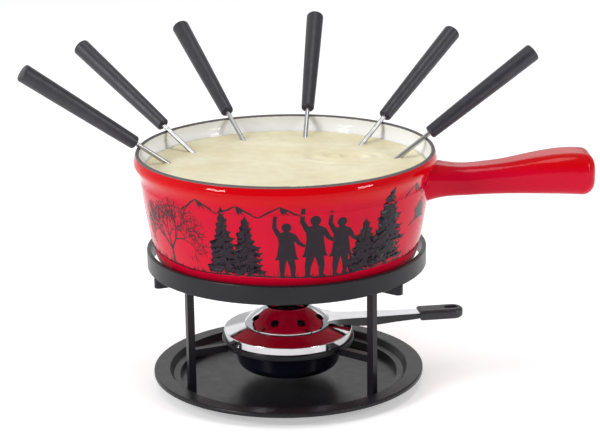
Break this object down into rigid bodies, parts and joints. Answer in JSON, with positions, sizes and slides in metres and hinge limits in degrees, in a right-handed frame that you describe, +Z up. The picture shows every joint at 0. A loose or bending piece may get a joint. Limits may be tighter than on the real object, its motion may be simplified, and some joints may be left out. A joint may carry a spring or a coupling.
{
  "type": "fondue set",
  "caption": "Fondue set: enamelled pot with side handle and fondue, forks on its rim, three-legged stand with burner, and round drip tray.",
  "frame": {"origin": "middle of the drip tray's underside, on the table", "axes": "+Z up, +X along the pot's handle, +Y to the back where the forks lean"},
  "size_m": [0.4313, 0.313, 0.2565],
  "materials": {
    "enamel": "glossy red enamel outside, white enamel inside, bare dark rim",
    "fondue": "soft satin melted cheese",
    "fork_plastic": "fine matte",
    "stainless": "polished stainless steel",
    "black_paint": "satin black paint",
    "cup_enamel": "glossy black enamel",
    "chrome": "polished",
    "tinplate": "satin",
    "gel": "translucent fuel paste",
    "grip_plastic": "satin"
  },
  "bodies": {
    "tray": {"tray": "black_paint"},
    "stand": {"stand_ring": "black_paint", "burner_ring": "black_paint", "leg_1": "black_paint", "leg_2": "black_paint", "leg_3": "black_paint", "support_bar_1": "black_paint", "support_bar_2": "black_paint", "support_bar_3": "black_paint", "burner_arm_1": "black_paint", "burner_arm_2": "black_paint", "burner_arm_3": "black_paint"},
    "pot": {"pot": "enamel", "fondue": "fondue"},
    "burner": {"burner_cup": "cup_enamel", "fuel_tin": "tinplate", "fuel_gel": "gel"},
    "lid": {"burner_lid": "chrome"},
    "regulator": {"regulator": "chrome", "regulator_handle": "chrome", "burner_grip": "grip_plastic"},
    "fork_1": {"fork_1_handle": "fork_plastic", "fork_1_shaft": "stainless"},
    "fork_2": {"fork_2_handle": "fork_plastic", "fork_2_shaft": "stainless"},
    "fork_3": {"fork_3_handle": "fork_plastic", "fork_3_shaft": "stainless"},
    "fork_4": {"fork_4_handle": "fork_plastic", "fork_4_shaft": "stainless"},
    "fork_5": {"fork_5_handle": "fork_plastic", "fork_5_shaft": "stainless"},
    "fork_6": {"fork_6_handle": "fork_plastic", "fork_6_shaft": "stainless"}
  },
  "joints": [
    {"name": "stand_lift", "type": "slide", "parent": "tray", "child": "stand", "axis": [0, 0, 1], "range_m": [0, 0.03]},
    {"name": "pot_lift", "type": "slide", "parent": "stand", "child": "pot", "axis": [0, 0, 1], "range_m": [0, 0.1]},
    {"name": "burner_lift", "type": "slide", "parent": "stand", "child": "burner", "axis": [0, 0, 1], "range_m": [0, 0.027]},
    {"name": "lid_lift", "type": "slide", "parent": "burner", "child": "lid", "axis": [0, 0, 1], "range_m": [0, 0.006]},
    {"name": "regulator_turn", "type": "hinge", "parent": "lid", "child": "regulator", "pos_m": [0, 0, 0.05], "axis": [0, 0, 1], "range_deg": [0, 22.5]},
    {"name": "fork_1_draw", "type": "slide", "parent": "pot", "child": "fork_1", "axis": [-0.778, -0.2143, 0.5906], "range_m": [0, 0.11]},
    {"name": "fork_2_draw", "type": "slide", "parent": "pot", "child": "fork_2", "axis": [-0.6659, 0.5354, 0.5195], "range_m": [0, 0.11]},
    {"name": "fork_3_draw", "type": "slide", "parent": "pot", "child": "fork_3", "axis": [-0.3927, 0.7323, 0.5563], "range_m": [0, 0.11]},
    {"name": "fork_4_draw", "type": "slide", "parent": "pot", "child": "fork_4", "axis": [0.0812, 0.7997, 0.5948], "range_m": [0, 0.11]},
    {"name": "fork_5_draw", "type": "slide", "parent": "pot", "child": "fork_5", "axis": [0.578, 0.609, 0.5432], "range_m": [0, 0.11]},
    {"name": "fork_6_draw", "type": "slide", "parent": "pot", "child": "fork_6", "axis": [0.7949, 0.2355, 0.5592], "range_m": [0, 0.11]}
  ]
}
